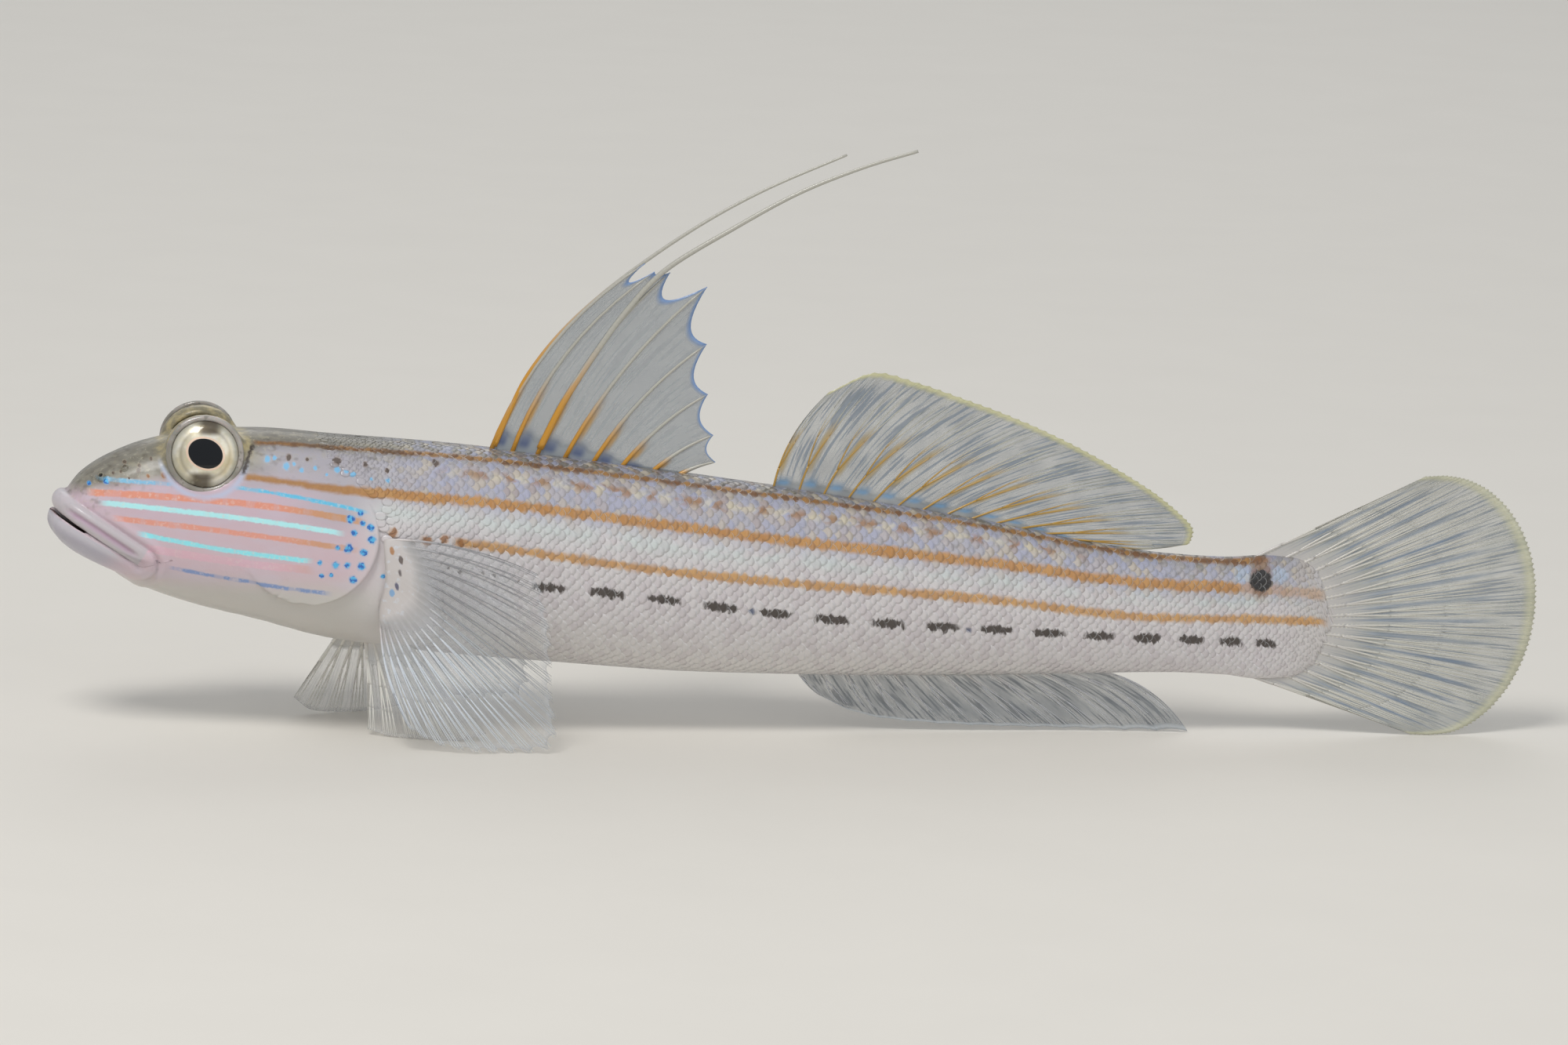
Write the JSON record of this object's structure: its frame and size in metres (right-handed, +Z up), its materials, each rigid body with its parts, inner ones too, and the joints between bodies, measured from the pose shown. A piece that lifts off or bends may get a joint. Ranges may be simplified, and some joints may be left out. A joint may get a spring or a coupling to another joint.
{
  "type": "longfin sleeper goby model",
  "caption": "life-size still model of a longfin sleeper goby resting on its lower fins, first dorsal fin raised with long trailing threads",
  "frame": {"origin": "middle of the bounding box, on the floor that the fins rest on", "axes": "+X from the snout to the tail fin, +Y to the fish's right side, +Z up"},
  "size_m": [0.1599, 0.027, 0.0624],
  "materials": {
    "head_skin": "smooth wet skin, olive above and pink-lilac on the cheek, with pale blue and orange lines",
    "body_skin": "small pearly scales, olive-grey above and white below, with brown and orange stripes and a row of dark dashes",
    "eye": "gold and silver iris round a black pupil under a clear wet surface",
    "upper_fin": "translucent membrane with yellow and grey-blue streaks between fine rays",
    "lower_fin": "translucent whitish membrane with pale rays"
  },
  "bodies": {
    "root": {"head": "head_skin", "lower_jaw": "head_skin", "trunk": "body_skin", "tail": "body_skin", "eye_left": "eye", "eye_right": "eye", "first_dorsal_fin": "upper_fin", "dorsal_filament_front": "upper_fin", "dorsal_filament_rear": "upper_fin", "second_dorsal_fin": "upper_fin", "caudal_fin": "upper_fin", "anal_fin": "lower_fin", "pectoral_fin_left": "lower_fin", "pectoral_fin_right": "lower_fin", "pelvic_fin_left": "lower_fin", "pelvic_fin_right": "lower_fin"}
  },
  "joints": []
}
